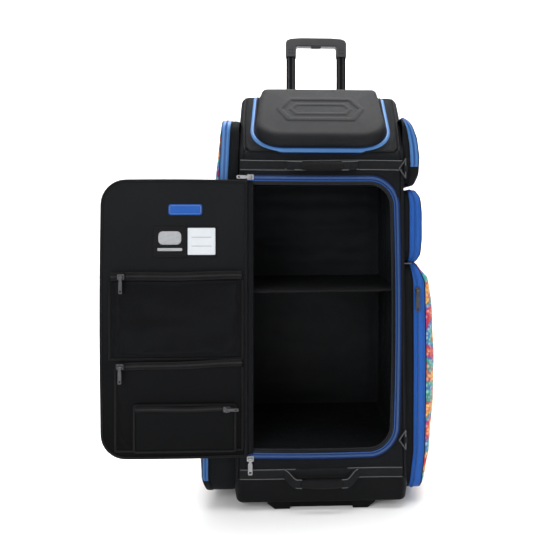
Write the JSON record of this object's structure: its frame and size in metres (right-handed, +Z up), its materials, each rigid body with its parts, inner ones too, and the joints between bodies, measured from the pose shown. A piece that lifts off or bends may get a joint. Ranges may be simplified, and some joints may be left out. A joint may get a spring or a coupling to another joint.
{
  "type": "rolling bowling bag",
  "caption": "Tall soft bowling bag that stands upright on wheels and a front skid, with a zipped swing door over shelved compartments, a moulded lid, side pockets and a telescopic trolley grip.",
  "frame": {"origin": "centre of the front skid's sole, on the floor, in the bag's mid-plane", "axes": "+X to the right seen from the front, +Y to the back, +Z up"},
  "size_m": [0.714, 0.3729, 1.086],
  "materials": {
    "body_fabric": "matte",
    "boot_vinyl": "satin",
    "lining_fabric": "matte",
    "stiffener_board": "matte",
    "hard_plastic": "matte",
    "axle_steel": "satin",
    "zip_tape": "matte",
    "pocket_print": "matte",
    "webbing": "matte",
    "trolley_tube": "satin",
    "grip_plastic": "satin",
    "button_plastic": "satin",
    "tyre_rubber": "matte",
    "wheel_core": "satin",
    "bearing_steel": "satin",
    "door_fabric": "matte",
    "door_edge": "matte",
    "door_mesh": "matte",
    "card_film": "gloss",
    "lid_foam": "matte",
    "zip_metal": "polished",
    "ring_metal": "polished"
  },
  "bodies": {
    "bag_body": {"left_side_panel": "body_fabric", "right_side_panel": "body_fabric", "back_panel": "body_fabric", "top_panel": "body_fabric", "front_panel": "body_fabric", "back_cover": "body_fabric", "base_tray": "boot_vinyl", "floor_board": "lining_fabric", "shelf": "lining_fabric", "ceiling_panel": "lining_fabric", "top_pocket_tray": "lining_fabric", "back_board": "stiffener_board", "front_skid": "hard_plastic", "wheel_housing_left": "hard_plastic", "wheel_housing_right": "hard_plastic", "trolley_bezel": "hard_plastic", "trolley_foot_bracket": "hard_plastic", "axle_left": "axle_steel", "axle_right": "axle_steel", "housing_screws": "axle_steel", "main_zip_tape": "zip_tape", "lid_zip_tape": "zip_tape", "left_pocket": "pocket_print", "lower_right_pocket": "pocket_print", "middle_right_pocket": "pocket_print", "upper_right_pocket": "pocket_print", "webbing": "webbing", "upper_grab_handle": "webbing", "lower_grab_handle": "webbing", "trolley_outer_tubes": "trolley_tube"},
    "door": {"door_panel": "door_fabric", "door_binding": "door_edge", "card_window": "card_film", "door_upper_pocket": "door_mesh", "door_lower_pocket": "door_mesh", "door_small_pocket": "door_mesh"},
    "lid": {"lid_shell": "lid_foam"},
    "trolley_middle": {"trolley_middle_tubes": "trolley_tube"},
    "trolley_upper": {"trolley_upper_tubes": "trolley_tube", "trolley_grip": "grip_plastic"},
    "button": {"release_button": "button_plastic"},
    "wheel_left": {"tyre_left": "tyre_rubber", "wheel_core_left": "wheel_core", "bearings_left": "bearing_steel"},
    "wheel_right": {"tyre_right": "tyre_rubber", "wheel_core_right": "wheel_core", "bearings_right": "bearing_steel"},
    "main_top_slider": {"main_top_slider": "zip_metal"},
    "main_top_pull": {"main_top_pull": "zip_metal"},
    "main_bottom_slider": {"main_bottom_slider": "zip_metal"},
    "main_bottom_pull": {"main_bottom_pull": "zip_metal"},
    "door_upper_slider": {"door_upper_slider": "zip_metal"},
    "door_upper_pull": {"door_upper_pull": "zip_metal"},
    "door_lower_slider": {"door_lower_slider": "zip_metal"},
    "door_lower_pull": {"door_lower_pull": "zip_metal"},
    "small_pocket_slider": {"small_pocket_slider": "zip_metal"},
    "side_pocket_slider": {"side_pocket_slider": "zip_metal"},
    "side_pocket_pull": {"side_pocket_pull": "zip_metal"},
    "upper_ring": {"upper_ring": "ring_metal"},
    "lower_ring": {"lower_ring": "ring_metal"}
  },
  "joints": [
    {"name": "door_hinge", "type": "hinge", "parent": "bag_body", "child": "door", "pos_m": [-0.1505, -0.04, 0.4], "axis": [0, 0, 1], "range_deg": [0, 180]},
    {"name": "lid_hinge", "type": "hinge", "parent": "bag_body", "child": "lid", "pos_m": [0, 0.11036, 0.88407], "axis": [-1, 0, 0], "range_deg": [0, 100]},
    {"name": "trolley_lower_slide", "type": "slide", "parent": "bag_body", "child": "trolley_middle", "axis": [0, 0, 1], "range_m": [0, 0.16]},
    {"name": "trolley_upper_slide", "type": "slide", "parent": "trolley_middle", "child": "trolley_upper", "axis": [0, 0, 1], "range_m": [-0.108, 0.08]},
    {"name": "release_press", "type": "slide", "parent": "trolley_upper", "child": "button", "axis": [0, 0, 1], "range_m": [0, 0.003], "stiffness_N_per_m": 600, "springref_m": -0.001},
    {"name": "wheel_spin_left", "type": "hinge", "parent": "bag_body", "child": "wheel_left", "pos_m": [-0.148, 0.255, 0.042], "axis": [1, 0, 0], "continuous": true},
    {"name": "wheel_spin_right", "type": "hinge", "parent": "bag_body", "child": "wheel_right", "pos_m": [0.148, 0.255, 0.042], "axis": [1, 0, 0], "continuous": true},
    {"name": "main_top_slide", "type": "slide", "parent": "bag_body", "child": "main_top_slider", "axis": [1, 0, 0], "range_m": [0, 0.235]},
    {"name": "main_top_pull_swing", "type": "hinge", "parent": "main_top_slider", "child": "main_top_pull", "pos_m": [-0.147, -0.0375, 0.6904], "axis": [0, 0, 1], "range_deg": [0, 160]},
    {"name": "main_bottom_slide", "type": "slide", "parent": "bag_body", "child": "main_bottom_slider", "axis": [1, 0, 0], "range_m": [0, 0.235]},
    {"name": "main_bottom_pull_swing", "type": "hinge", "parent": "main_bottom_slider", "child": "main_bottom_pull", "pos_m": [-0.147, -0.0375, 0.1094], "axis": [-1, 0, 0], "range_deg": [0, 90]},
    {"name": "door_upper_slide", "type": "slide", "parent": "door", "child": "door_upper_slider", "axis": [1, 0, 0], "range_m": [0, 0.225]},
    {"name": "door_upper_pull_swing", "type": "hinge", "parent": "door_upper_slider", "child": "door_upper_pull", "pos_m": [-0.404, -0.0593, 0.488], "axis": [-1, 0, 0], "range_deg": [0, 160]},
    {"name": "door_lower_slide", "type": "slide", "parent": "door", "child": "door_lower_slider", "axis": [1, 0, 0], "range_m": [0, 0.225]},
    {"name": "door_lower_pull_swing", "type": "hinge", "parent": "door_lower_slider", "child": "door_lower_pull", "pos_m": [-0.406, -0.0573, 0.307], "axis": [-1, 0, 0], "range_deg": [0, 160]},
    {"name": "small_pocket_slide", "type": "slide", "parent": "door", "child": "small_pocket_slider", "axis": [-1, 0, 0], "range_m": [0, 0.17]},
    {"name": "side_pocket_slide", "type": "slide", "parent": "bag_body", "child": "side_pocket_slider", "axis": [0, 0, -1], "range_m": [0, 0.4]},
    {"name": "side_pocket_pull_swing", "type": "hinge", "parent": "side_pocket_slider", "child": "side_pocket_pull", "pos_m": [0.205, -0.0183, 0.452], "axis": [-1, 0, 0], "range_deg": [0, 160]},
    {"name": "upper_ring_swing", "type": "hinge", "parent": "bag_body", "child": "upper_ring", "pos_m": [0.175, -0.0342, 0.709], "axis": [0, 0, 1], "range_deg": [0, 200]},
    {"name": "lower_ring_swing", "type": "hinge", "parent": "bag_body", "child": "lower_ring", "pos_m": [0.175, -0.0342, 0.144], "axis": [0, 0, 1], "range_deg": [0, 200]}
  ]
}
